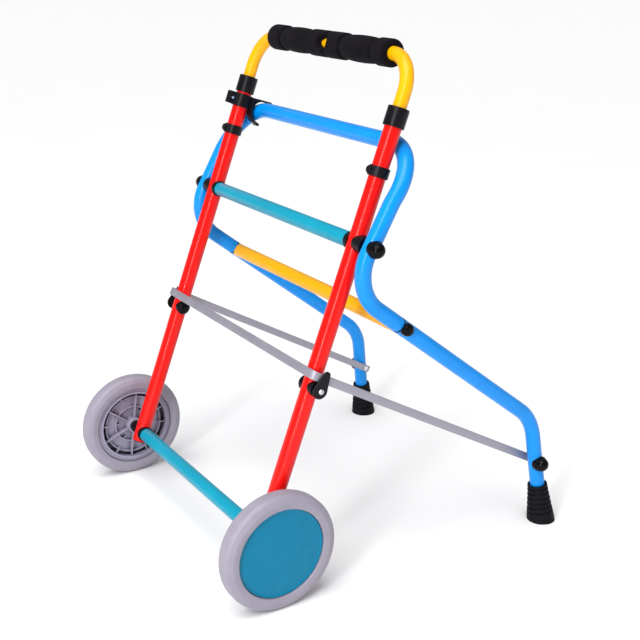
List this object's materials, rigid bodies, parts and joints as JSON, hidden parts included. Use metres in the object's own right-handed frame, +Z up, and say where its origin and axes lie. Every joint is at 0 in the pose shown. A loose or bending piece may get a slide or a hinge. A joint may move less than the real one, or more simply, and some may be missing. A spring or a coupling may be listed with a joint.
{
  "type": "walking frame",
  "caption": "Child's folding walking frame with front wheels, rubber feet, foam grips, fold-out rear legs and a flat locking brace.",
  "frame": {"origin": "on the floor, under the middle of the object's box", "axes": "+Z up; the wheels are at the front, towards -Y, and the rubber feet at the back, towards +Y; X runs across, and X = 0 is the mirror plane of all but the latch, which is at -X"},
  "size_m": [0.475, 0.5163, 0.6502],
  "materials": {
    "red_paint": "gloss powder coat",
    "blue_paint": "gloss powder coat",
    "yellow_paint": "gloss powder coat",
    "teal_paint": "satin paint",
    "black_plastic": "moulded, satin",
    "black_foam": "matt closed-cell foam",
    "black_rubber": "matt moulded rubber",
    "zinc_steel": "zinc plated",
    "aluminium": "extruded, mill finish",
    "tyre_grey": "matt soft tyre",
    "hub_grey": "moulded, satin",
    "disc_teal": "moulded, semi-gloss"
  },
  "bodies": {
    "front_frame": {"front_upright_left": "red_paint", "front_upright_right": "red_paint", "upright_plug_left": "black_plastic", "upright_plug_right": "black_plastic", "upper_crossbar": "teal_paint", "lower_crossbar": "teal_paint", "axle": "zinc_steel", "crossbar_washer_left": "black_plastic", "crossbar_washer_right": "black_plastic", "axle_washer_left": "black_plastic", "axle_washer_right": "black_plastic", "top_collar_left": "black_plastic", "top_collar_right": "black_plastic", "height_clip_left": "black_plastic", "height_clip_right": "black_plastic", "latch_clamp": "black_plastic", "latch_screw": "zinc_steel", "pivot_spacer_left": "black_plastic", "pivot_spacer_right": "black_plastic", "pivot_bolt_left": "zinc_steel", "pivot_bolt_right": "zinc_steel", "brace_bracket_left": "black_plastic", "brace_bracket_right": "black_plastic", "bracket_bolt_left": "zinc_steel", "bracket_bolt_right": "zinc_steel", "bracket_cap_left": "black_plastic", "bracket_cap_right": "black_plastic", "wheel_spacer_left": "black_plastic", "wheel_spacer_right": "black_plastic", "wheel_retainer_left": "zinc_steel", "wheel_retainer_right": "zinc_steel"},
    "handle": {"handle_tube": "yellow_paint", "grip_left": "black_foam", "grip_right": "black_foam"},
    "height_pin_left": {"height_pin_left": "black_plastic"},
    "height_pin_right": {"height_pin_right": "black_plastic"},
    "wheel_left": {"tyre_left": "tyre_grey", "wheel_hub_left": "hub_grey", "hub_disc_left": "disc_teal"},
    "wheel_right": {"tyre_right": "tyre_grey", "wheel_hub_right": "hub_grey", "hub_disc_right": "disc_teal"},
    "rear_frame": {"rear_bow": "blue_paint", "rear_leg_left": "blue_paint", "rear_leg_right": "blue_paint", "rear_crossbar": "yellow_paint", "leg_joint_sleeve_left": "black_plastic", "leg_joint_sleeve_right": "black_plastic", "leg_joint_bolt_left": "black_plastic", "leg_joint_bolt_right": "black_plastic", "foot_tip_left": "black_rubber", "foot_tip_right": "black_rubber", "pivot_cap_left": "black_plastic", "pivot_cap_right": "black_plastic", "brace_pin_left": "zinc_steel", "brace_pin_right": "zinc_steel", "brace_pin_cap_left": "black_plastic", "brace_pin_cap_right": "black_plastic"},
    "brace": {"brace": "aluminium"}
  },
  "joints": [
    {"name": "rear_frame_fold", "type": "hinge", "parent": "front_frame", "child": "rear_frame", "pos_m": [0, -0.05607, 0.42457], "axis": [-1, 0, 0], "range_deg": [0, 30]},
    {"name": "brace_pivot", "type": "hinge", "parent": "rear_frame", "child": "brace", "pos_m": [0, 0.2249, 0.0885], "axis": [-1, 0, 0], "range_deg": [0, 13.3]},
    {"name": "handle_height", "type": "slide", "parent": "front_frame", "child": "handle", "axis": [0, 0.342, 0.9397], "range_m": [0, 0.05]},
    {"name": "height_pin_left_pull", "type": "slide", "parent": "front_frame", "child": "height_pin_left", "axis": [0, -0.9397, 0.342], "range_m": [0, 0.006], "stiffness_N_per_m": 500},
    {"name": "height_pin_right_pull", "type": "slide", "parent": "front_frame", "child": "height_pin_right", "axis": [0, -0.9397, 0.342], "range_m": [0, 0.006], "stiffness_N_per_m": 500},
    {"name": "wheel_left_spin", "type": "hinge", "parent": "front_frame", "child": "wheel_left", "pos_m": [0, -0.1833, 0.075], "axis": [1, 0, 0], "continuous": true},
    {"name": "wheel_right_spin", "type": "hinge", "parent": "front_frame", "child": "wheel_right", "pos_m": [0, -0.1833, 0.075], "axis": [1, 0, 0], "continuous": true}
  ],
  "couplings": [
    {"joint": "brace_pivot", "follows": "rear_frame_fold", "ratio": 0.44}
  ]
}
